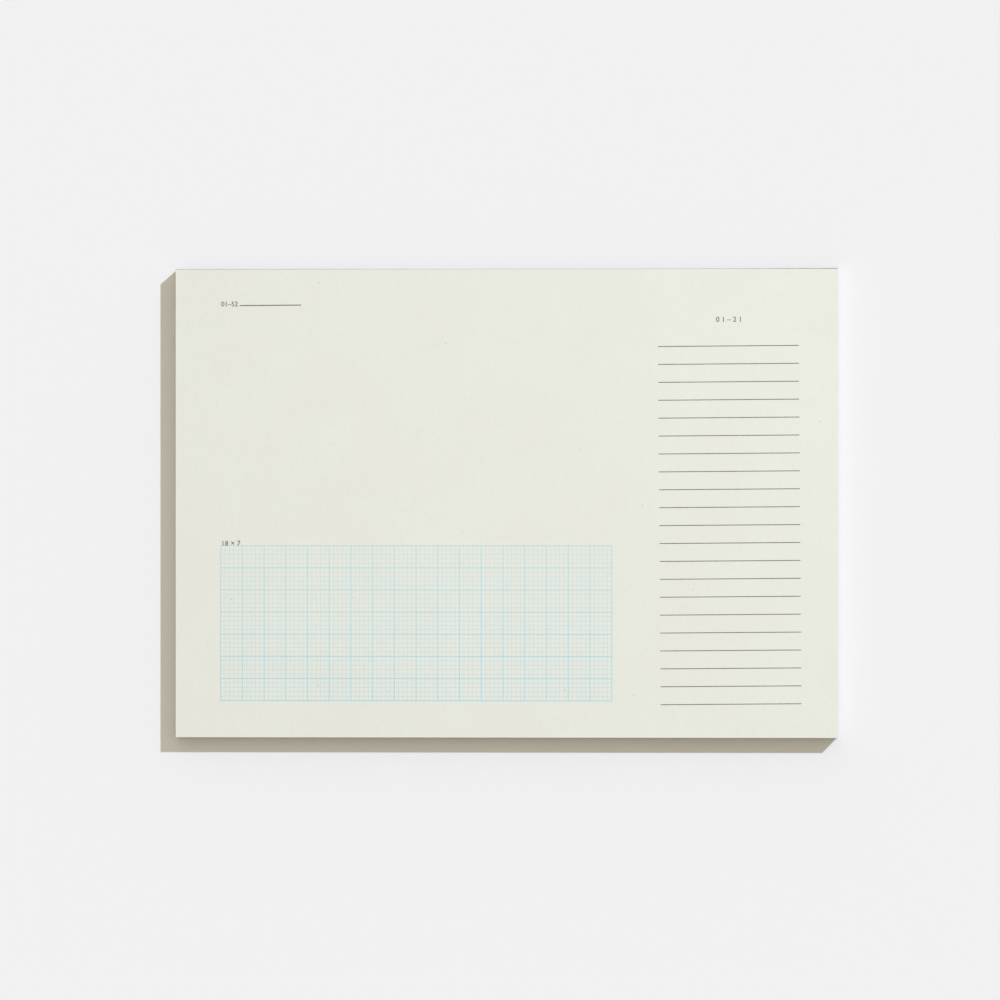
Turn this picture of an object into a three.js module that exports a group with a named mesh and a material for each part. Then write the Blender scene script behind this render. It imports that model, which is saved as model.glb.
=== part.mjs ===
// A desk notepad: a landscape block of tear-off sheets on a greyboard back, gummed along its head edge.
// The top sheet is printed in brown and blue, with a ruled task list, a short rule for the week and a
// squared panel for notes.
// Millimetres, +Z up. The origin is the centre of the underside. +X is the reader's right, and +Y points
// to the gummed head edge.

import * as THREE from "three";

// The trimmed block
const PAGE_WIDTH = 297;
const PAGE_HEIGHT = 210;
const SHEET_COUNT = 52;
const SHEET_THICKNESS = 0.125;
const SHEET_GROOVE_DEPTH = 0.04;

// The back and the gum that holds the sheets to it
const BOARD_THICKNESS = 1.25;
const BOARD_EDGE_CHAMFER = 0.15;
const GUM_THICKNESS = 0.3;
const GUM_ARC_STEPS = 5;

// The print: a film of ink on the top sheet
const INK_THICKNESS = 0.05;

// The brown print, which sits slightly turned on the page
const BROWN_PRINT_TURN = THREE.MathUtils.degToRad(0.45);
const TASK_RULE_LENGTH = 63;
const TASK_RULE_WIDTH = 0.29;
const TASK_RULE_PITCH = 8.02;
const TASK_LIST_RIGHT_MARGIN = 17;
const TASK_LIST_HEAD_MARGIN = 35.3;
const TASK_LIST_FOOT_MARGIN = 14;
const WEEK_RULE_LENGTH = 27.6;
const WEEK_RULE_WIDTH = 0.36;
const WEEK_RULE_LEFT_MARGIN = 29.5;
const WEEK_RULE_HEAD_MARGIN = 15.3;

// The blue print: bold squares that fill the width between the left margin and the gutter beside the task
// list, over the pale field that the fine lines inside them make from a step away
const SQUARE_WIDTH = 9.75;
const SQUARE_HEIGHT = 9.93;
const SQUARE_ROWS = 7;
const SQUARE_LINE_WIDTH = 0.25;
const NOTES_LEFT_MARGIN = 20.3;
const NOTES_FOOT_MARGIN = 16.5;
const NOTES_GUTTER = 21;

// Places and counts that follow from the sizes
const LEFT_EDGE = -PAGE_WIDTH / 2;
const RIGHT_EDGE = PAGE_WIDTH / 2;
const FOOT_EDGE = -PAGE_HEIGHT / 2;
const HEAD_EDGE = PAGE_HEIGHT / 2;
const BLOCK_HEIGHT = SHEET_COUNT * SHEET_THICKNESS;
const PAGE_TOP = BOARD_THICKNESS + BLOCK_HEIGHT;

const TASK_RULE_START = RIGHT_EDGE - TASK_LIST_RIGHT_MARGIN - TASK_RULE_LENGTH;
const FIRST_TASK_RULE = HEAD_EDGE - TASK_LIST_HEAD_MARGIN;
const TASK_LIST_HEIGHT = PAGE_HEIGHT - TASK_LIST_HEAD_MARGIN - TASK_LIST_FOOT_MARGIN;
const TASK_RULE_COUNT = Math.floor(TASK_LIST_HEIGHT / TASK_RULE_PITCH) + 1;

const NOTES_LEFT = LEFT_EDGE + NOTES_LEFT_MARGIN;
const NOTES_FOOT = FOOT_EDGE + NOTES_FOOT_MARGIN;
const SQUARE_COLUMNS = Math.floor((TASK_RULE_START - NOTES_GUTTER - NOTES_LEFT) / SQUARE_WIDTH);

const materials = {
  paper: new THREE.MeshStandardMaterial({ color: 0xe9eadf, roughness: 0.9, metalness: 0 }),
  greyboard: new THREE.MeshStandardMaterial({ color: 0x9a9286, roughness: 0.95, metalness: 0 }),
  gum: new THREE.MeshStandardMaterial({ color: 0xa39e94, roughness: 0.6, metalness: 0 }),
  brownInk: new THREE.MeshStandardMaterial({ color: 0x6c463c, roughness: 0.8, metalness: 0 }),
  fineLines: new THREE.MeshStandardMaterial({ color: 0xdde7e0, roughness: 0.9, metalness: 0 }),
  blueInk: new THREE.MeshStandardMaterial({ color: 0x8cd4eb, roughness: 0.8, metalness: 0 }),
};

// Flat-faced geometry from shared corners and the triangles between them.
function facetedGeometry(corners, faces) {
  const shared = new THREE.BufferGeometry();
  shared.setAttribute("position", new THREE.Float32BufferAttribute(corners, 3));
  shared.setIndex(faces);
  const faceted = shared.toNonIndexed();
  faceted.computeVertexNormals();
  return faceted;
}

// A closed solid that rises through the page's outline at each level. An inset draws the outline in from
// the left, right and foot edges there, and a headInset draws it in from the head edge.
function solidThroughLevels(levels) {
  const corners = [];
  for (const { z, inset, headInset } of levels) {
    const left = LEFT_EDGE + inset;
    const right = RIGHT_EDGE - inset;
    const foot = FOOT_EDGE + inset;
    const head = HEAD_EDGE - headInset;
    corners.push(left, foot, z, right, foot, z, right, head, z, left, head, z);
  }
  const faces = [0, 2, 1, 0, 3, 2];
  for (let level = 1; level < levels.length; level += 1) {
    for (let side = 0; side < 4; side += 1) {
      const upper = 4 * level + side;
      const upperNext = 4 * level + ((side + 1) % 4);
      const lower = upper - 4;
      const lowerNext = upperNext - 4;
      faces.push(lower, lowerNext, upperNext, lower, upperNext, upper);
    }
  }
  const top = 4 * (levels.length - 1);
  faces.push(top, top + 1, top + 2, top, top + 2, top + 3);
  return facetedGeometry(corners, faces);
}

// Greyboard cut with the sheets. The trimmer rounds its lower edges a little.
function backingBoard() {
  return solidThroughLevels([
    { z: 0, inset: BOARD_EDGE_CHAMFER, headInset: BOARD_EDGE_CHAMFER },
    { z: BOARD_EDGE_CHAMFER, inset: 0, headInset: 0 },
    { z: BOARD_THICKNESS, inset: 0, headInset: 0 },
  ]);
}

// The sheets as one body. A groove parts each sheet's edge from the next on the three open sides, and
// the middle third of each sheet's edge is flat. On the head side the gum fills the grooves, so that side
// is flat all the way up.
function sheetBlock() {
  const edgeRise = SHEET_THICKNESS / 3;
  const levels = [{ z: 0, inset: SHEET_GROOVE_DEPTH, headInset: 0 }];
  for (let sheet = 0; sheet < SHEET_COUNT; sheet += 1) {
    const bottom = sheet * SHEET_THICKNESS;
    const top = (sheet + 1) * SHEET_THICKNESS;
    levels.push(
      { z: bottom + edgeRise, inset: 0, headInset: 0 },
      { z: top - edgeRise, inset: 0, headInset: 0 },
      { z: top, inset: SHEET_GROOVE_DEPTH, headInset: 0 },
    );
  }
  return solidThroughLevels(levels);
}

// A brushed film of padding gum: flat against the trimmed head edges, and run out round at its top and
// bottom. The profile is drawn outwards and upwards, and swept along the head edge.
function bindingGum(height) {
  const profile = new THREE.Shape();
  profile.moveTo(0, 0);
  profile.absarc(0, GUM_THICKNESS, GUM_THICKNESS, -Math.PI / 2, 0);
  profile.absarc(0, height - GUM_THICKNESS, GUM_THICKNESS, 0, Math.PI / 2);
  profile.closePath();
  const geometry = new THREE.ExtrudeGeometry(profile, {
    depth: PAGE_WIDTH,
    curveSegments: GUM_ARC_STEPS,
    bevelEnabled: false,
  });
  const outwards = new THREE.Vector3(0, 1, 0);
  const upwards = new THREE.Vector3(0, 0, 1);
  const alongTheEdge = new THREE.Vector3(1, 0, 0);
  geometry.applyMatrix4(new THREE.Matrix4().makeBasis(outwards, upwards, alongTheEdge));
  return geometry;
}

function rectangle(left, foot, right, head) {
  return new THREE.Shape([
    new THREE.Vector2(left, foot),
    new THREE.Vector2(right, foot),
    new THREE.Vector2(right, head),
    new THREE.Vector2(left, head),
  ]);
}

function inkFilm(shape) {
  return new THREE.ExtrudeGeometry(shape, { depth: INK_THICKNESS, bevelEnabled: false });
}

// A printed rule that starts at its own origin and runs to the right.
function printedRule(length, width) {
  return inkFilm(rectangle(0, -width / 2, length, width / 2));
}

// Where the two edges of each line fall, across a run of squares.
function lineEdges(squares, pitch) {
  const edges = [];
  for (let line = 0; line <= squares; line += 1) {
    edges.push(line * pitch - SQUARE_LINE_WIDTH / 2, line * pitch + SQUARE_LINE_WIDTH / 2);
  }
  return edges;
}

// The squared panel: upright and level lines that cross as one film of ink, with a window for each square.
// Its origin is where the lowest and leftmost lines cross. The lines' edges divide it into cells. A cell
// with an odd number both ways lies between lines, so it is a window.
function squaredPanel(columns, rows) {
  const across = lineEdges(columns, SQUARE_WIDTH);
  const up = lineEdges(rows, SQUARE_HEIGHT);
  const corners = [];
  for (const y of up) {
    for (const x of across) {
      corners.push(x, y, 0, x, y, INK_THICKNESS);
    }
  }
  const lower = (column, row) => 2 * (row * across.length + column);
  const upper = (column, row) => lower(column, row) + 1;

  const isInk = (column, row) => {
    const inside = column >= 0 && row >= 0 && column < across.length - 1 && row < up.length - 1;
    return inside && (column % 2 === 0 || row % 2 === 0);
  };
  const faces = [];
  const addQuad = (a, b, c, d) => faces.push(a, b, c, a, c, d);
  const addWall = (fromColumn, fromRow, toColumn, toRow) => {
    const [from, to] = [lower(fromColumn, fromRow), lower(toColumn, toRow)];
    addQuad(from, to, to + 1, from + 1);
  };
  for (let row = 0; row < up.length - 1; row += 1) {
    for (let column = 0; column < across.length - 1; column += 1) {
      if (!isInk(column, row)) continue;
      const [right, head] = [column + 1, row + 1];
      addQuad(upper(column, row), upper(right, row), upper(right, head), upper(column, head));
      addQuad(lower(column, row), lower(column, head), lower(right, head), lower(right, row));
      if (!isInk(column, row - 1)) addWall(column, row, right, row);
      if (!isInk(right, row)) addWall(right, row, right, head);
      if (!isInk(column, head)) addWall(right, head, column, head);
      if (!isInk(column - 1, row)) addWall(column, head, column, row);
    }
  }
  return facetedGeometry(corners, faces);
}

function addPiece(group, name, geometry, material, x, y, z) {
  const piece = new THREE.Mesh(geometry, material);
  piece.name = name;
  piece.position.set(x, y, z);
  group.add(piece);
}

const notepad = new THREE.Group();
addPiece(notepad, "backing_board", backingBoard(), materials.greyboard, 0, 0, 0);
addPiece(notepad, "sheet_block", sheetBlock(), materials.paper, 0, 0, BOARD_THICKNESS);

const gum = bindingGum(PAGE_TOP - BOARD_EDGE_CHAMFER);
addPiece(notepad, "binding_gum", gum, materials.gum, LEFT_EDGE, HEAD_EDGE, BOARD_EDGE_CHAMFER);

const field = inkFilm(rectangle(0, 0, SQUARE_COLUMNS * SQUARE_WIDTH, SQUARE_ROWS * SQUARE_HEIGHT));
addPiece(notepad, "notes_field", field, materials.fineLines, NOTES_LEFT, NOTES_FOOT, PAGE_TOP);

const squares = squaredPanel(SQUARE_COLUMNS, SQUARE_ROWS);
const onTheField = PAGE_TOP + INK_THICKNESS;
addPiece(notepad, "notes_grid", squares, materials.blueInk, NOTES_LEFT, NOTES_FOOT, onTheField);

// The brown print turns as a whole about the page's centre.
const brownPrint = new THREE.Group();
brownPrint.position.z = PAGE_TOP;
brownPrint.rotation.z = BROWN_PRINT_TURN;
notepad.add(brownPrint);

const weekRule = printedRule(WEEK_RULE_LENGTH, WEEK_RULE_WIDTH);
const weekRuleStart = LEFT_EDGE + WEEK_RULE_LEFT_MARGIN;
const weekRuleHeight = HEAD_EDGE - WEEK_RULE_HEAD_MARGIN;
addPiece(brownPrint, "week_rule", weekRule, materials.brownInk, weekRuleStart, weekRuleHeight, 0);

const taskRule = printedRule(TASK_RULE_LENGTH, TASK_RULE_WIDTH);
for (let rule = 0; rule < TASK_RULE_COUNT; rule += 1) {
  const name = "task_rule_" + String(rule + 1).padStart(2, "0");
  const y = FIRST_TASK_RULE - rule * TASK_RULE_PITCH;
  addPiece(brownPrint, name, taskRule, materials.brownInk, TASK_RULE_START, y, 0);
}

export default notepad;
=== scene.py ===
import math

import bmesh
import bpy
from mathutils import Matrix, Vector, noise


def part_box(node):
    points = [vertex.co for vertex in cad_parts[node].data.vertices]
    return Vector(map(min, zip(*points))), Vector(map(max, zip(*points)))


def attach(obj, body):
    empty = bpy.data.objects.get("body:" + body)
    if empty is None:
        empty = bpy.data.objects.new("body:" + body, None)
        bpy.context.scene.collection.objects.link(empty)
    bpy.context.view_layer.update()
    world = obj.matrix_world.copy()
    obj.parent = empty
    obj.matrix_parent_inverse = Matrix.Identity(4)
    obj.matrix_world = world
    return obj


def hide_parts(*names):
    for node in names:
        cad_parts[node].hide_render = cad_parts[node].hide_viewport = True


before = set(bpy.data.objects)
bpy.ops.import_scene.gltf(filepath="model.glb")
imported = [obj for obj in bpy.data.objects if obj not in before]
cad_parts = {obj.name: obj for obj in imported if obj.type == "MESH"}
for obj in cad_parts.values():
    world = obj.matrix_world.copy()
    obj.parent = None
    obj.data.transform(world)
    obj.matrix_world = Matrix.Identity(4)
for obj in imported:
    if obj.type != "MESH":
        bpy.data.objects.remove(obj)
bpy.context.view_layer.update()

# Greyboard back
# The stiff back of the pad: 1.25 mm board pressed from waste paper, uncoated. It is cut together with the
# sheets, so its edges stand flush with theirs. The blade leaves them furred and their lower rim rounded.

BOARD_RIM_ROUNDING = 0.00015
BOARD_FURRING = 0.00004
BOARD_EDGE_STEP = 0.0012
BOARD_RIM_STEPS = 3
BOARD_EDGE_LEVELS = (0.3, 0.45, 0.6, 0.75, 0.9)
FURS_PER_METRE = 900.0
GREYBOARD = (0.34, 0.305, 0.255)
GREYBOARD_CLOUD = (0.3, 0.27, 0.225)
GREYBOARD_DARK_FIBRE = (0.19, 0.17, 0.145)
GREYBOARD_PALE_FIBRE = (0.52, 0.49, 0.43)


def add_node(tree, kind, inputs=None, **settings):
    """Adds a node, sets its options, and fills its inputs with values, RGB colours or links."""
    node = tree.nodes.new(kind)
    for option, value in settings.items():
        setattr(node, option, value)
    for socket, value in (inputs or {}).items():
        end = node.inputs[socket]
        if isinstance(value, bpy.types.NodeSocket):
            tree.links.new(value, end)
        elif end.type == "RGBA":
            end.default_value = (*value, 1.0)
        else:
            end.default_value = value
    return node


def maths(tree, operation, first, second=0.0):
    return add_node(tree, "ShaderNodeMath", {0: first, 1: second}, operation=operation).outputs[0]


def spread(tree, value, low, high, to_low=0.0, to_high=1.0):
    """Spreads the part of a value from low to high over a new range, clamped at both ends."""
    inputs = {"Value": value, "From Min": low, "From Max": high, "To Min": to_low, "To Max": to_high}
    return add_node(tree, "ShaderNodeMapRange", inputs).outputs["Result"]


def mix_colours(tree, share, first, second):
    inputs = {"Factor": share, 6: first, 7: second}
    return add_node(tree, "ShaderNodeMix", inputs, data_type="RGBA").outputs[2]


def new_group(kind, name, inputs, outputs):
    """Starts a node group with named inputs and outputs, and returns it with its inputs' sockets."""
    group = bpy.data.node_groups.new(name, kind)
    for way, sockets in (("INPUT", inputs), ("OUTPUT", outputs)):
        for label, socket_kind in sockets.items():
            group.interface.new_socket(label, in_out=way, socket_type="NodeSocket" + socket_kind)
    return group, group.nodes.new("NodeGroupInput").outputs


def grain_effect():
    """Noise from 0 to 1. Its features are about as many metres across as Size, less where stretched."""
    group, given = new_group(
        "ShaderNodeTree", "grain",
        {"Size": "Float", "Detail": "Float", "Stretch": "Vector"}, {"Amount": "Float"},
    )
    place = add_node(group, "ShaderNodeTexCoord").outputs["Object"]
    mapping = add_node(group, "ShaderNodeMapping", {"Vector": place, "Scale": given["Stretch"]})
    scale = maths(group, "DIVIDE", 1.0, given["Size"])
    inputs = {"Vector": mapping.outputs["Vector"], "Scale": scale, "Detail": given["Detail"]}
    amount = add_node(group, "ShaderNodeTexNoise", inputs).outputs["Fac"]
    add_node(group, "NodeGroupOutput", {"Amount": amount})
    return group


def grain(tree, size, detail=4.0, stretch=(1.0, 1.0, 1.0)):
    inputs = {"Size": size, "Detail": detail, "Stretch": stretch}
    return add_node(tree, "ShaderNodeGroup", inputs, node_tree=grain_group).outputs["Amount"]


def pulp_effect():
    """Pressed pulp: a colour clouded by a second one and flecked with fibres, and the height of its tooth."""
    group, given = new_group(
        "ShaderNodeTree", "pressed_pulp",
        {
            "Colour": "Color", "Cloud": "Color", "Cloud Size": "Float",
            "Fibre": "Color", "Fibre Size": "Float", "Fibre Share": "Float",
        },
        {"Colour": "Color", "Height": "Float"},
    )
    clouds = spread(group, grain(group, given["Cloud Size"]), 0.35, 0.65)
    clouded = mix_colours(group, clouds, given["Colour"], given["Cloud"])
    felted = grain(group, given["Fibre Size"], detail=6.0, stretch=(1.0, 0.5, 1.0))
    flecks = maths(group, "MULTIPLY", spread(group, felted, 0.5, 0.7), given["Fibre Share"])
    flecked = mix_colours(group, flecks, clouded, given["Fibre"])
    add_node(group, "NodeGroupOutput", {"Colour": flecked, "Height": felted})
    return group


def shade(name, colour, roughness, height=None, bump_depth=0.0):
    """Makes a material. Its colour and height each come from a function that adds nodes to its tree."""
    material = bpy.data.materials.new(name)
    material.use_nodes = True
    tree = material.node_tree
    surface = tree.nodes["Principled BSDF"]
    surface.inputs["Roughness"].default_value = roughness
    tree.links.new(colour(tree), surface.inputs["Base Color"])
    if height:
        bump = add_node(tree, "ShaderNodeBump", {"Height": height(tree), "Distance": bump_depth})
        tree.links.new(bump.outputs["Normal"], surface.inputs["Normal"])
    return material


def link_to_scene(name, mesh, material):
    mesh.materials.clear()
    mesh.materials.append(material)
    piece = bpy.data.objects.new(name, mesh)
    bpy.context.scene.collection.objects.link(piece)
    return piece


def outline_points(low, high, step):
    """Points and outward directions around a rectangle, anticlockwise, with a point at each corner."""
    corners = [(low.x, low.y), (high.x, low.y), (high.x, high.y), (low.x, high.y)]
    outwards = [(0, -1), (1, 0), (0, 1), (-1, 0)]
    points = []
    for side in range(4):
        start = Vector(corners[side])
        run = Vector(corners[(side + 1) % 4]) - start
        steps = max(2, round(run.length / step))
        here = Vector(outwards[side])
        before = Vector(outwards[side - 1])
        points.append((start, here + before))
        points += [(start + run * (i / steps), here) for i in range(1, steps)]
    return points


def cut_slab(name, low, high, rims, step, furring, material):
    """A trimmed slab. Each rim is a height above its foot and an inset from its outline, and furring is
    how far the cut edge wanders inwards."""
    outline = outline_points(low, high, step)
    count = len(outline)
    vertices = []
    for height, inset in rims:
        for point, outward in outline:
            spot = Vector((point.x, point.y, low.z + height))
            wander = 0.5 + 0.5 * noise.noise(spot * FURS_PER_METRE)
            edge = point - outward * (inset + furring * wander)
            vertices.append((edge.x, edge.y, spot.z))
    faces = [tuple(reversed(range(count)))]
    for lower in range(0, count * (len(rims) - 1), count):
        for i in range(count):
            after = (i + 1) % count
            faces.append((lower + i, lower + after, lower + count + after, lower + count + i))
    faces.append(tuple(range((len(rims) - 1) * count, len(rims) * count)))
    mesh = bpy.data.meshes.new(name)
    mesh.from_pydata(vertices, [], faces)
    return link_to_scene(name, mesh, material)


def greyboard_pulp(tree):
    return add_node(
        tree, "ShaderNodeGroup",
        {
            "Colour": GREYBOARD, "Cloud": GREYBOARD_CLOUD, "Cloud Size": 0.014,
            "Fibre": GREYBOARD_DARK_FIBRE, "Fibre Size": 0.0013, "Fibre Share": 0.75,
        },
        node_tree=pulp_group,
    )


def greyboard_colour(tree):
    felted = grain(tree, 0.001, detail=5.0, stretch=(0.5, 1.0, 1.0))
    pale_fibres = spread(tree, felted, 0.56, 0.7, to_high=0.7)
    return mix_colours(tree, pale_fibres, greyboard_pulp(tree).outputs["Colour"], GREYBOARD_PALE_FIBRE)


def greyboard_height(tree):
    return greyboard_pulp(tree).outputs["Height"]


grain_group = grain_effect()
pulp_group = pulp_effect()
board_low, board_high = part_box("backing_board")
board_thickness = board_high.z - board_low.z
board_rims = []
for rim_step in range(BOARD_RIM_STEPS + 1):
    turn = rim_step / BOARD_RIM_STEPS * math.pi / 2
    rise = BOARD_RIM_ROUNDING * (1 - math.cos(turn))
    board_rims.append((rise, BOARD_RIM_ROUNDING * (1 - math.sin(turn))))
board_rims += [(board_thickness * share, 0.0) for share in BOARD_EDGE_LEVELS]
board_rims.append((board_thickness, BOARD_FURRING))
greyboard = shade(
    "greyboard", greyboard_colour, roughness=0.95, height=greyboard_height, bump_depth=0.00012
)
back = cut_slab(
    "greyboard_back", board_low, board_high, board_rims, BOARD_EDGE_STEP, BOARD_FURRING, greyboard
)
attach(back, "root")
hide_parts("backing_board")

# Tear-off sheets
# The block under the page: fifty-one sheets of uncoated 100 g paper, held only by the gum at the head.
# Trimming leaves each a few hundredths of a millimetre in or out, and they part a little at the open edges.

SHEET_COUNT = 52
SHEET_BODY = 0.92
TRIM_WANDER = 0.00004
LOOSENESS = 0.00002
SHEET_EDGE_CUTS = 110
WAVES_PER_METRE = 28.0
WAVE_SWING = 4.0
WAVE_SHIFT_PER_SHEET = 0.004
ROUNDING_GUARD = 0.02
SHEET_WELD = 0.000001
CUT_EDGE = (0.74, 0.745, 0.665)
CUT_EDGE_SHADED = (0.52, 0.515, 0.445)


def finish_growth(tree, geometry, material):
    realized = add_node(tree, "GeometryNodeRealizeInstances", {"Geometry": geometry})
    inputs = {"Geometry": realized.outputs["Geometry"], "Material": material}
    coloured = add_node(tree, "GeometryNodeSetMaterial", inputs)
    add_node(tree, "NodeGroupOutput", {"Geometry": coloured.outputs["Geometry"]})
    return tree


def grow(name, tree, values):
    """Runs a geometry tree with these values, and returns its result as a plain mesh object."""
    piece = bpy.data.objects.new(name, bpy.data.meshes.new(name + "_seed"))
    bpy.context.scene.collection.objects.link(piece)
    modifier = piece.modifiers.new("growth", "NODES")
    modifier.node_group = tree
    for item in tree.interface.items_tree:
        if item.in_out == "INPUT":
            modifier[item.identifier] = values[item.name]
    evaluated = piece.evaluated_get(bpy.context.evaluated_depsgraph_get())
    mesh = bpy.data.meshes.new_from_object(evaluated)
    piece.modifiers.remove(modifier)
    piece.data = mesh
    return piece


def xyz(tree, x=0.0, y=0.0, z=0.0):
    return add_node(tree, "ShaderNodeCombineXYZ", {"X": x, "Y": y, "Z": z}).outputs["Vector"]


def one_sheet(tree, given):
    """A closed sheet with its underside at the origin, cut into short lengths along its edges."""
    rectangle = add_node(
        tree, "GeometryNodeCurvePrimitiveQuadrilateral",
        {"Width": given["Width"], "Height": given["Height"]},
    )
    outline = add_node(
        tree, "GeometryNodeSubdivideCurve",
        {"Curve": rectangle.outputs["Curve"], "Cuts": given["Edge Cuts"]},
    )
    underside = add_node(
        tree, "GeometryNodeFillCurve", {"Curve": outline.outputs["Curve"]}, mode="NGONS"
    ).outputs["Mesh"]
    lifted = add_node(
        tree, "GeometryNodeExtrudeMesh",
        {"Mesh": underside, "Offset Scale": given["Thickness"], "Individual": False},
    ).outputs["Mesh"]
    turned_over = add_node(tree, "GeometryNodeFlipFaces", {"Mesh": underside}).outputs["Mesh"]
    closed = add_node(tree, "GeometryNodeJoinGeometry")
    tree.links.new(turned_over, closed.inputs["Geometry"])
    tree.links.new(lifted, closed.inputs["Geometry"])
    merge = {"Geometry": closed.outputs["Geometry"], "Distance": SHEET_WELD}
    return add_node(tree, "GeometryNodeMergeByDistance", merge).outputs["Geometry"]


def sheet_stack_growth():
    """Sheets stacked upwards from the origin. Towards the foot the trimming has shifted each a little, and
    the sheets in the middle of the stack lie loose. A small guard keeps the rounding of a height from
    giving it the number of the sheet below."""
    tree, given = new_group(
        "GeometryNodeTree", "sheet_stack",
        {
            "Width": "Float", "Height": "Float", "Pitch": "Float", "Thickness": "Float", "Count": "Int",
            "Edge Cuts": "Int", "Trim Wander": "Float", "Looseness": "Float", "Seed": "Int",
            "Material": "Material",
        },
        {"Geometry": "Geometry"},
    )
    steps = {"Count": given["Count"], "Offset": xyz(tree, z=given["Pitch"])}
    places = add_node(tree, "GeometryNodeMeshLine", steps).outputs["Mesh"]
    inputs = {"Points": places, "Instance": one_sheet(tree, given)}
    stacked = add_node(tree, "GeometryNodeInstanceOnPoints", inputs).outputs["Instances"]
    real = add_node(tree, "GeometryNodeRealizeInstances", {"Geometry": stacked}).outputs["Geometry"]

    position = add_node(tree, "GeometryNodeInputPosition").outputs["Position"]
    place = add_node(tree, "ShaderNodeSeparateXYZ", {"Vector": position}).outputs
    level = maths(tree, "ADD", maths(tree, "DIVIDE", place["Z"], given["Pitch"]), ROUNDING_GUARD)
    number = maths(tree, "FLOOR", level)
    from_head = maths(tree, "SUBTRACT", 0.5, maths(tree, "DIVIDE", place["Y"], given["Height"]))
    shift = add_node(
        tree, "FunctionNodeRandomValue",
        {"Min": (-1.0, 0.0, 0.0), "Max": (1.0, 1.0, 0.0), "ID": number, "Seed": given["Seed"]},
        data_type="FLOAT_VECTOR",
    ).outputs["Value"]
    reach = maths(tree, "MULTIPLY", given["Trim Wander"], from_head)
    trimmed = add_node(
        tree, "ShaderNodeVectorMath", {0: shift, "Scale": reach}, operation="SCALE"
    ).outputs["Vector"]

    wave_shift = maths(tree, "MULTIPLY", number, WAVE_SHIFT_PER_SHEET)
    along_sheet = xyz(tree, place["X"], place["Y"], wave_shift)
    waves = {"Vector": along_sheet, "Scale": WAVES_PER_METRE, "Detail": 2.0}
    wave = add_node(tree, "ShaderNodeTexNoise", waves).outputs["Fac"]
    swing = maths(tree, "MULTIPLY", maths(tree, "SUBTRACT", wave, 0.5), WAVE_SWING)
    share_up = maths(tree, "DIVIDE", number, given["Count"])
    slack = maths(tree, "SINE", maths(tree, "MULTIPLY", share_up, math.pi))
    slack_here = maths(tree, "MULTIPLY", maths(tree, "MULTIPLY", slack, from_head), given["Looseness"])
    lift = xyz(tree, z=maths(tree, "MULTIPLY", swing, slack_here))
    offset = add_node(tree, "ShaderNodeVectorMath", {0: trimmed, 1: lift}, operation="ADD")
    inputs = {"Geometry": real, "Offset": offset.outputs["Vector"]}
    loose = add_node(tree, "GeometryNodeSetPosition", inputs).outputs["Geometry"]
    return finish_growth(tree, loose, given["Material"])


def cut_edge_colour(tree):
    # Painted shade: darker bands along the cut edges stand in for shade between the sheets, fine ones for
    # single sheets and broad ones for handfuls.
    fine_bands = grain(tree, 0.004, detail=5.0, stretch=(1.0, 1.0, 30.0))
    sheet_shade = spread(tree, fine_bands, 0.35, 0.75, to_high=0.4)
    broad_bands = grain(tree, 0.012, detail=3.0, stretch=(0.4, 0.4, 9.0))
    handful_shade = spread(tree, broad_bands, 0.4, 0.7, to_high=0.25)
    painted_shade_bands = maths(tree, "MAXIMUM", sheet_shade, handful_shade)
    return mix_colours(tree, painted_shade_bands, CUT_EDGE, CUT_EDGE_SHADED)


def cut_edge_height(tree):
    return grain(tree, 0.0004, detail=3.0, stretch=(0.3, 0.3, 4.0))


block_low, block_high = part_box("sheet_block")
sheet_pitch = (block_high.z - block_low.z) / SHEET_COUNT
cut_edges = shade(
    "cut_paper_edges", cut_edge_colour, roughness=0.9, height=cut_edge_height, bump_depth=0.00003
)
sheets = grow(
    "tear_off_sheets",
    sheet_stack_growth(),
    {
        "Width": block_high.x - block_low.x - 2 * TRIM_WANDER,
        "Height": block_high.y - block_low.y,
        "Pitch": sheet_pitch,
        "Thickness": sheet_pitch * SHEET_BODY,
        "Count": SHEET_COUNT - 1,
        "Edge Cuts": SHEET_EDGE_CUTS,
        "Trim Wander": TRIM_WANDER,
        "Looseness": LOOSENESS,
        "Seed": 7,
        "Material": cut_edges,
    },
)
sheets.data.transform(Matrix.Translation((0.0, 0.0, block_low.z)))
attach(sheets, "root")
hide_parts("sheet_block")

# Top sheet
# The page that is written on: uncoated off-white paper with a faint cloudiness in its fibres and a few
# specks. It lies flat, with square corners and a clean cut.

PAPER = (0.812, 0.816, 0.731)
PAPER_CLOUD = (0.8, 0.801, 0.717)
PAPER_FIBRE = (0.757, 0.76, 0.68)
PAPER_SPECK = (0.36, 0.34, 0.31)
SPECKS_PER_METRE = 26.0
SPECK_CORE = 0.003
SPECK_RIM = 0.007
PAGE_RIM = 0.00002
PAGE_EDGE_STEP = 0.0015
PAGE_FURRING = 0.00001


def paper_pulp(tree):
    return add_node(
        tree, "ShaderNodeGroup",
        {
            "Colour": PAPER, "Cloud": PAPER_CLOUD, "Cloud Size": 0.03,
            "Fibre": PAPER_FIBRE, "Fibre Size": 0.0012, "Fibre Share": 0.4,
        },
        node_tree=pulp_group,
    )


def paper_colour(tree):
    place = add_node(tree, "ShaderNodeTexCoord").outputs["Object"]
    inputs = {"Vector": place, "Scale": SPECKS_PER_METRE}
    scatter = add_node(tree, "ShaderNodeTexVoronoi", inputs, voronoi_dimensions="2D").outputs
    near = spread(tree, scatter["Distance"], SPECK_CORE, SPECK_RIM, to_low=1.0, to_high=0.0)
    chosen = spread(tree, scatter["Color"], 0.5, 0.62)
    speck = maths(tree, "MULTIPLY", near, chosen)
    return mix_colours(tree, speck, paper_pulp(tree).outputs["Colour"], PAPER_SPECK)


def paper_height(tree):
    return paper_pulp(tree).outputs["Height"]


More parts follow.
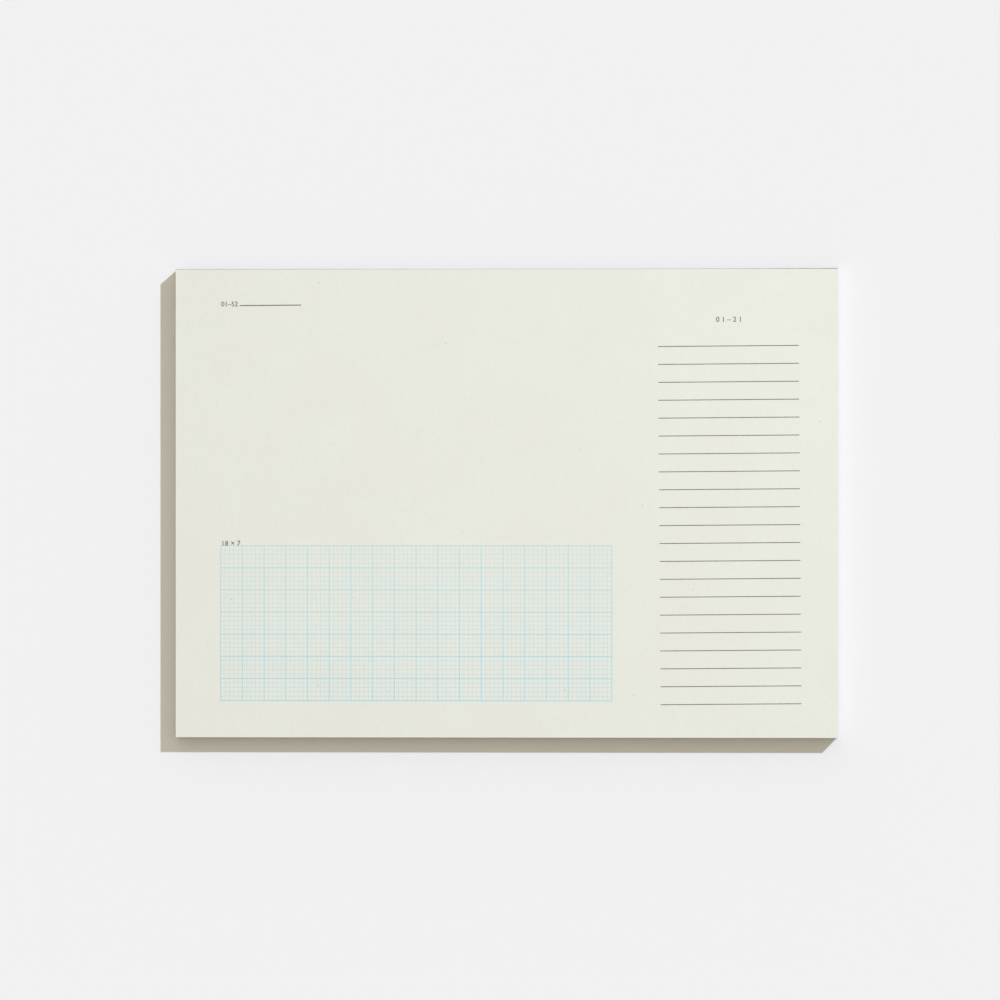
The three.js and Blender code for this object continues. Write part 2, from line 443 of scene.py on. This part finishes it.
paper = shade("uncoated_paper", paper_colour, roughness=0.9, height=paper_height, bump_depth=0.00002)
page_low = Vector((block_low.x, block_low.y, block_high.z - sheet_pitch * SHEET_BODY))
page_thickness = block_high.z - page_low.z
page_rims = [
    (0.0, PAGE_RIM), (PAGE_RIM, 0.0), (page_thickness - PAGE_RIM, 0.0), (page_thickness, PAGE_RIM),
]
page = cut_slab("top_sheet", page_low, block_high, page_rims, PAGE_EDGE_STEP, PAGE_FURRING, paper)
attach(page, "root")
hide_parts("sheet_block")

# Padding gum
# The film that binds the pad: padding gum, brushed twice along the head edge over sheets and board and
# left to dry. It is thin in the middle and thickest at the right, with brush streaks along it.

GUM_STEP = 0.0006
GUM_ROWS = 36
GUM_LEAST = 0.38
GUM_MORE_LEFT = 0.2
GUM_MORE_RIGHT = 0.6
GUM_RUN_OUT = 9.0
GUM_SWELLS_PER_METRE = 60.0
STREAK_SCALE = Vector((25.0, 0.0, 2600.0))
STREAK_SHARE = 0.17
DAUB_SCALE = Vector((220.0, 0.0, 420.0))
DAUB_SHARE = 0.14
GUM_COLOUR = (0.2, 0.183, 0.158)
GUM_THICK_COLOUR = (0.135, 0.12, 0.1)


def gum_coat(x, half_length):
    """How much of the gum's full thickness the brush left, at a place along the head edge."""
    share = x / half_length
    coat = GUM_LEAST + GUM_MORE_LEFT * max(0.0, -share) + GUM_MORE_RIGHT * max(0.0, share) ** 3
    swell = noise.noise(Vector((x * GUM_SWELLS_PER_METRE, 0.0, 3.0)))
    return coat * (0.9 + 0.25 * swell)


def gum_film(name, material):
    low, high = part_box("binding_gum")
    columns = round((high.x - low.x) / GUM_STEP)
    depth = high.y - low.y
    vertices = []
    for i in range(columns + 1):
        x = low.x + (high.x - low.x) * i / columns
        coat = depth * gum_coat(x, high.x)
        for j in range(GUM_ROWS + 1):
            up = j / GUM_ROWS
            z = low.z + (high.z - low.z) * up
            run_out = min(1.0, (1 - abs(2 * up - 1)) * GUM_RUN_OUT) ** 0.5
            streak = noise.noise(Vector((x * STREAK_SCALE.x, 0.0, z * STREAK_SCALE.z)))
            daub = noise.noise(Vector((x * DAUB_SCALE.x, 5.0, z * DAUB_SCALE.z)))
            thickness = coat * run_out * (1 + STREAK_SHARE * streak + DAUB_SHARE * daub)
            vertices.append((x, low.y + min(depth, max(0.0, thickness)), z))
    row = GUM_ROWS + 1
    faces = []
    for first in range(0, columns * row, row):
        for j in range(first, first + GUM_ROWS):
            faces.append((j, j + 1, j + row + 1, j + row))
    last = columns * row
    lower_edge = list(range(0, last + 1, row))
    upper_edge = list(range(GUM_ROWS, last + row, row))
    faces.append(tuple(reversed(range(row))))
    faces.append(tuple(range(last, last + row)))
    faces.append(tuple(lower_edge + upper_edge[::-1]))
    mesh = bpy.data.meshes.new(name)
    mesh.from_pydata(vertices, [], faces)
    for polygon in mesh.polygons:
        polygon.use_smooth = len(polygon.vertices) == 4
    return link_to_scene(name, mesh, material)


def gum_colour(tree):
    streaks = grain(tree, 0.006, detail=5.0, stretch=(1.0, 1.0, 12.0))
    return mix_colours(tree, spread(tree, streaks, 0.35, 0.7), GUM_COLOUR, GUM_THICK_COLOUR)


def gum_height(tree):
    return grain(tree, 0.0008, stretch=(0.2, 1.0, 3.0))


gum = shade("dried_gum", gum_colour, roughness=0.5, height=gum_height, bump_depth=0.00003)
film = gum_film("gum_film", gum)
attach(film, "root")
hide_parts("binding_gum")

# Blue print
# A squared panel for notes in pale blue ink: bold lines for the squares and fine ones that part each
# square in five. The ink has sunk into the uncoated paper, and it lies heavier towards the foot.

SMALL_SQUARES = 5
SQUARE_COLUMNS = 18
SQUARE_ROWS = 7
BOLD_LINE = 0.0003
FINE_LINE = 0.00011
INK_HEIGHT = 0.00002
FINE_INK_HEIGHT = 0.000012
LEVEL_LINE_DROP = 0.000004
PAPER_TOOTH = 0.0005
BLUE_INK = (0.2, 0.655, 0.86)
BLUE_COVER_AT_HEAD = 0.74


def ink_effect():
    """Ink on uncoated paper: the paper's tooth shows through it in places."""
    group, given = new_group(
        "ShaderNodeTree", "ink_on_paper",
        {"Paper": "Color", "Ink": "Color", "Cover": "Float", "Tooth": "Float"}, {"Colour": "Color"},
    )
    tooth = spread(group, grain(group, PAPER_TOOTH), 0.35, 0.7)
    bare = maths(group, "MULTIPLY", tooth, given["Tooth"])
    cover = maths(group, "MULTIPLY", given["Cover"], maths(group, "SUBTRACT", 1.0, bare))
    colour = mix_colours(group, cover, given["Paper"], given["Ink"])
    add_node(group, "NodeGroupOutput", {"Colour": colour})
    return group


def blue_ink_colour(tree):
    object_place = add_node(tree, "ShaderNodeTexCoord").outputs["Object"]
    place = add_node(tree, "ShaderNodeSeparateXYZ", {"Vector": object_place}).outputs
    cover = spread(tree, place["Y"], notes_high.y, notes_low.y, BLUE_COVER_AT_HEAD, 1.0)
    inputs = {"Paper": PAPER, "Ink": BLUE_INK, "Cover": cover, "Tooth": 0.25}
    return add_node(tree, "ShaderNodeGroup", inputs, node_tree=ink_group).outputs["Colour"]


def lattice_growth():
    """Upright and level lines across a rectangle that starts at the origin. With Skip Each at 1 every line
    is kept, and otherwise those whose number it divides are left out."""
    tree, given = new_group(
        "GeometryNodeTree", "printed_lattice",
        {
            "Width": "Float", "Height": "Float", "Columns": "Int", "Rows": "Int", "Line Width": "Float",
            "Ink Height": "Float", "Level Drop": "Float", "Skip Each": "Int", "Material": "Material",
        },
        {"Geometry": "Geometry"},
    )
    index = add_node(tree, "GeometryNodeInputIndex").outputs["Index"]
    between = maths(tree, "GREATER_THAN", maths(tree, "MODULO", index, given["Skip Each"]), 0.5)
    every = maths(tree, "LESS_THAN", given["Skip Each"], 1.5)
    chosen = maths(tree, "MAXIMUM", between, every)
    lines = add_node(tree, "GeometryNodeJoinGeometry")

    def add_lines(count, offset, start, size):
        line = add_node(tree, "GeometryNodeMeshCube", {"Size": size}).outputs["Mesh"]
        steps = {"Count": maths(tree, "ADD", count, 1.0), "Start Location": start, "Offset": offset}
        places = add_node(tree, "GeometryNodeMeshLine", steps).outputs["Mesh"]
        inputs = {"Points": places, "Instance": line, "Selection": chosen}
        placed = add_node(tree, "GeometryNodeInstanceOnPoints", inputs).outputs["Instances"]
        tree.links.new(placed, lines.inputs["Geometry"])

    column = maths(tree, "DIVIDE", given["Width"], given["Columns"])
    row = maths(tree, "DIVIDE", given["Height"], given["Rows"])
    middle_x = maths(tree, "DIVIDE", given["Width"], 2.0)
    middle_y = maths(tree, "DIVIDE", given["Height"], 2.0)
    full_width = maths(tree, "ADD", given["Width"], given["Line Width"])
    full_height = maths(tree, "ADD", given["Height"], given["Line Width"])
    upright_ink = given["Ink Height"]
    level_ink = maths(tree, "SUBTRACT", upright_ink, given["Level Drop"])
    add_lines(
        given["Columns"],
        xyz(tree, x=column),
        xyz(tree, y=middle_y, z=maths(tree, "DIVIDE", upright_ink, 2.0)),
        xyz(tree, given["Line Width"], full_height, upright_ink),
    )
    add_lines(
        given["Rows"],
        xyz(tree, y=row),
        xyz(tree, x=middle_x, z=maths(tree, "DIVIDE", level_ink, 2.0)),
        xyz(tree, full_width, given["Line Width"], level_ink),
    )
    return finish_growth(tree, lines.outputs["Geometry"], given["Material"])


notes_low, notes_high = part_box("notes_field")
page_top = block_high.z
ink_group = ink_effect()
blue_ink = shade("blue_ink", blue_ink_colour, roughness=0.85)
lattice = lattice_growth()
panel = {
    "Width": notes_high.x - notes_low.x, "Height": notes_high.y - notes_low.y,
    "Level Drop": LEVEL_LINE_DROP, "Material": blue_ink,
}
bold_lines = grow(
    "notes_bold_lines",
    lattice,
    panel
    | {
        "Columns": SQUARE_COLUMNS, "Rows": SQUARE_ROWS, "Line Width": BOLD_LINE,
        "Ink Height": INK_HEIGHT, "Skip Each": 1,
    },
)
fine_lines = grow(
    "notes_fine_lines",
    lattice,
    panel
    | {
        "Columns": SQUARE_COLUMNS * SMALL_SQUARES, "Rows": SQUARE_ROWS * SMALL_SQUARES,
        "Line Width": FINE_LINE, "Ink Height": FINE_INK_HEIGHT, "Skip Each": SMALL_SQUARES,
    },
)
for lines in (bold_lines, fine_lines):
    lines.data.transform(Matrix.Translation((notes_low.x, notes_low.y, page_top)))
    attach(lines, "root")
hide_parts("notes_grid")
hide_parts("notes_field")

# Brown rules
# Twenty-one rules to write tasks on, and one shorter and heavier rule for the week, in dark brown ink. The
# brown print went on slightly turned, and the ink's edge follows the tooth of the paper.

BROWN_TURN = math.radians(0.45)
TASK_RULES = 21
TASK_RULE_WIDTH = 0.00035
WEEK_RULE_WIDTH = 0.00043
RULE_STEP = 0.00035
INK_RAGGEDNESS = 0.00003
TOOTH_PER_METRE = 1400.0
BROWN_INK = (0.13, 0.06, 0.045)


def brown_ink_colour(tree):
    inputs = {"Paper": PAPER, "Ink": BROWN_INK, "Cover": 1.0, "Tooth": 0.2}
    return add_node(tree, "ShaderNodeGroup", inputs, node_tree=ink_group).outputs["Colour"]


def rules_growth():
    """Equal rules from a first centre to a last one, each turned a little, with ragged edges."""
    tree, given = new_group(
        "GeometryNodeTree", "printed_rules",
        {
            "First": "Vector", "Last": "Vector", "Count": "Int", "Length": "Float", "Width": "Float",
            "Turn": "Float", "Ink Height": "Float", "Cuts": "Int", "Raggedness": "Float",
            "Material": "Material",
        },
        {"Geometry": "Geometry"},
    )
    size = xyz(tree, given["Length"], given["Width"], given["Ink Height"])
    inputs = {"Size": size, "Vertices X": given["Cuts"]}
    rule = add_node(tree, "GeometryNodeMeshCube", inputs).outputs["Mesh"]
    ends = {"Count": given["Count"], "Start Location": given["First"], "Offset": given["Last"]}
    places = add_node(tree, "GeometryNodeMeshLine", ends, mode="END_POINTS").outputs["Mesh"]
    inputs = {"Points": places, "Instance": rule, "Rotation": xyz(tree, z=given["Turn"])}
    placed = add_node(tree, "GeometryNodeInstanceOnPoints", inputs).outputs["Instances"]
    real = add_node(tree, "GeometryNodeRealizeInstances", {"Geometry": placed}).outputs["Geometry"]
    position = add_node(tree, "GeometryNodeInputPosition").outputs["Position"]
    inputs = {"Vector": position, "Scale": TOOTH_PER_METRE, "Detail": 3.0}
    tooth = add_node(tree, "ShaderNodeTexNoise", inputs).outputs["Fac"]
    wander = maths(tree, "MULTIPLY", maths(tree, "SUBTRACT", tooth, 0.5), given["Raggedness"])
    inputs = {"Geometry": real, "Offset": xyz(tree, y=wander)}
    ragged = add_node(tree, "GeometryNodeSetPosition", inputs).outputs["Geometry"]
    return finish_growth(tree, ragged, given["Material"])


def ink_centre(node):
    low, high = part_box(node)
    return Vector(((low.x + high.x) / 2, (low.y + high.y) / 2, page_top + INK_HEIGHT / 2))


def print_rules(name, nodes, width):
    """Rules of this width where the frame has them, from the first of these nodes to the last."""
    low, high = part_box(nodes[0])
    length = (high.x - low.x) / math.cos(BROWN_TURN)
    printed = grow(
        name,
        rules,
        {
            "First": ink_centre(nodes[0]), "Last": ink_centre(nodes[-1]), "Count": len(nodes),
            "Length": length, "Width": width, "Turn": BROWN_TURN, "Ink Height": INK_HEIGHT,
            "Cuts": round(length / RULE_STEP), "Raggedness": INK_RAGGEDNESS, "Material": brown_ink,
        },
    )
    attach(printed, "root")
    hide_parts(*nodes)


rules = rules_growth()
brown_ink = shade("brown_ink", brown_ink_colour, roughness=0.85)
task_nodes = [f"task_rule_{number:02d}" for number in range(1, TASK_RULES + 1)]
print_rules("task_rules", task_nodes, TASK_RULE_WIDTH)
print_rules("week_line", ["week_rule"], WEEK_RULE_WIDTH)

# Printed numbers
# Three small labels in the same brown ink: the weeks of a year beside the short rule, the rules' numbers
# over the task list, and the count of squares on the panel's upper edge.

NUMBERS = {
    "week_numbers": {"text": "01–52", "left": 0.0205, "from_head": 0.0166, "cap": 0.0021, "gap": 1.0},
    "task_numbers": {"text": "01–21", "left": 0.2425, "from_head": 0.0237, "cap": 0.0022, "gap": 1.58},
    "square_numbers": {"text": "18 × 7", "left": 0.0211, "from_head": 0.124, "cap": 0.0022, "gap": 1.03},
}
CAP_SHARE = 0.69
INK_SPREAD = 0.000035
WELD_REACH = 0.0000005


def printed_number(name, text, left, from_head, cap, gap):
    """A label whose first figure starts at a distance from the page's left edge, on a baseline that is
    measured from the head."""
    writing = bpy.data.curves.new(name, "FONT")
    writing.body = text
    writing.size = cap / CAP_SHARE
    writing.space_character = gap
    writing.offset = INK_SPREAD
    writing.extrude = INK_HEIGHT / 2
    writing.resolution_u = 6
    drawn = bpy.data.objects.new(name + "_drawn", writing)
    bpy.context.scene.collection.objects.link(drawn)
    evaluated = drawn.evaluated_get(bpy.context.evaluated_depsgraph_get())
    mesh = bpy.data.meshes.new_from_object(evaluated)
    bpy.data.objects.remove(drawn)
    figures = bmesh.new()
    figures.from_mesh(mesh)
    bmesh.ops.remove_doubles(figures, verts=figures.verts, dist=WELD_REACH)
    figures.to_mesh(mesh)
    figures.free()
    start = min(vertex.co.x for vertex in mesh.vertices)
    place = Vector((block_low.x + left, block_high.y - from_head, page_top + INK_HEIGHT / 2))
    mesh.transform(Matrix.Translation((-start, 0.0, 0.0)))
    mesh.transform(Matrix.Rotation(BROWN_TURN, 4, "Z"))
    mesh.transform(Matrix.Translation(place))
    return link_to_scene(name, mesh, brown_ink)


for name, number in NUMBERS.items():
    label = printed_number(name, **number)
    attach(label, "root")

# Light
# A small cool key lamp high on the right beyond the head, which throws the pad's crisp shadow, and a warm
# fill from all round that is stronger from beyond the head. Shares are of the light that a white table
# would send back, and the two add up to one.

SHADOW_THROW = Vector((-0.00715, -0.0068, -0.00775))
KEY_DISTANCE = 5.0
KEY_SIZE = 0.095
KEY_SHARE = Vector((0.43, 0.474, 0.573))
FILL_SHARE = Vector((0.57, 0.526, 0.427))
FILL_FROM_HEAD = 0.58
FILL_FROM_RIGHT = 0.05
BACKDROP = (0.888, 0.88, 0.88)

towards_key = -SHADOW_THROW.normalized()
strongest = max(KEY_SHARE)
key_data = bpy.data.lights.new("key", "AREA")
key_data.shape = "DISK"
key_data.size = KEY_SIZE
key_data.color = KEY_SHARE / strongest
key_data.energy = strongest * (math.pi * KEY_DISTANCE) ** 2 / towards_key.z
key = bpy.data.objects.new("key", key_data)
key.location = towards_key * KEY_DISTANCE
key.rotation_euler = towards_key.to_track_quat("Z", "Y").to_euler()
bpy.context.scene.collection.objects.link(key)

world = bpy.data.worlds.new("room")
world.use_nodes = True
bpy.context.scene.world = world
room = world.node_tree
room.nodes.clear()
rays = add_node(room, "ShaderNodeLightPath").outputs
seen = rays["Is Camera Ray"]
for ray in ("Is Glossy Ray", "Is Transmission Ray"):
    seen = maths(room, "MAXIMUM", seen, rays[ray])
direction = add_node(room, "ShaderNodeTexCoord").outputs["Generated"]
slope = add_node(
    room, "ShaderNodeVectorMath", {0: direction, 1: (FILL_FROM_RIGHT, FILL_FROM_HEAD, 0.0)},
    operation="DOT_PRODUCT",
).outputs["Value"]
fill = add_node(
    room, "ShaderNodeBackground", {"Color": FILL_SHARE, "Strength": maths(room, "ADD", slope, 1.0)}
)
backdrop = add_node(room, "ShaderNodeBackground", {"Color": BACKDROP})
shown = add_node(
    room, "ShaderNodeMixShader",
    {0: seen, 1: fill.outputs["Background"], 2: backdrop.outputs["Background"]},
)
add_node(room, "ShaderNodeOutputWorld", {"Surface": shown.outputs["Shader"]})

# Floor
# A plain pale table. Its colour is lighter where the key lamp's light falls off, so that the table looks
# even, apart from the pad's shadow.

FLOOR_SIZE = 6.0
FLOOR_DROP = 0.00003
FLOOR_PALEST = (0.985, 0.985, 0.985)


def vectors(tree, operation, first, second=(0.0, 0.0, 0.0), output="Vector"):
    node = add_node(tree, "ShaderNodeVectorMath", {0: first, 1: second}, operation=operation)
    return node.outputs[output]


def even_floor_colour(tree):
    place = add_node(tree, "ShaderNodeTexCoord").outputs["Object"]
    to_key = vectors(tree, "SUBTRACT", tuple(key.location), place)
    reach = vectors(tree, "LENGTH", to_key, output="Value")
    facing = vectors(tree, "DOT_PRODUCT", to_key, tuple(towards_key), output="Value")
    falloff = maths(tree, "DIVIDE", facing, maths(tree, "POWER", reach, 4.0))
    key_strength = maths(tree, "MULTIPLY", falloff, KEY_DISTANCE ** 3)
    key_light = add_node(
        tree, "ShaderNodeVectorMath", {0: tuple(KEY_SHARE), "Scale": key_strength}, operation="SCALE"
    ).outputs["Vector"]
    light = vectors(tree, "ADD", key_light, tuple(FILL_SHARE))
    return vectors(tree, "MINIMUM", vectors(tree, "DIVIDE", BACKDROP, light), FLOOR_PALEST)


half = FLOOR_SIZE / 2
floor_mesh = bpy.data.meshes.new("floor")
floor_corners = [(x, y, -FLOOR_DROP) for x, y in ((-half, -half), (half, -half), (half, half), (-half, half))]
floor_mesh.from_pydata(floor_corners, [], [(0, 1, 2, 3)])
floor_paint = shade("floor_paint", even_floor_colour, roughness=1.0)
floor_paint.node_tree.nodes["Principled BSDF"].inputs["Specular IOR Level"].default_value = 0.0
link_to_scene("floor", floor_mesh, floor_paint)

# Camera
# Straight above the page with a long lens, leaning a touch from the right. The page lies a little right of
# and below the picture's centre.

PIXELS_PER_METRE = 2231.0
PICTURE_PIXELS = 1000
CAMERA_DISTANCE = 2.5
CAMERA_LEAN = math.radians(1.7)
AIM = Vector((-0.00281, 0.00151, page_top))

camera_data = bpy.data.cameras.new("camera")
camera_data.sensor_width = 36.0
camera_data.lens = camera_data.sensor_width * CAMERA_DISTANCE * PIXELS_PER_METRE / PICTURE_PIXELS
camera_data.clip_end = 20.0
camera = bpy.data.objects.new("camera", camera_data)
lean = Matrix.Rotation(CAMERA_LEAN, 4, "Y")
camera.matrix_world = Matrix.Translation(AIM) @ lean @ Matrix.Translation((0.0, 0.0, CAMERA_DISTANCE))
bpy.context.scene.collection.objects.link(camera)
bpy.context.scene.camera = camera
bpy.context.scene.view_settings.view_transform = "Standard"
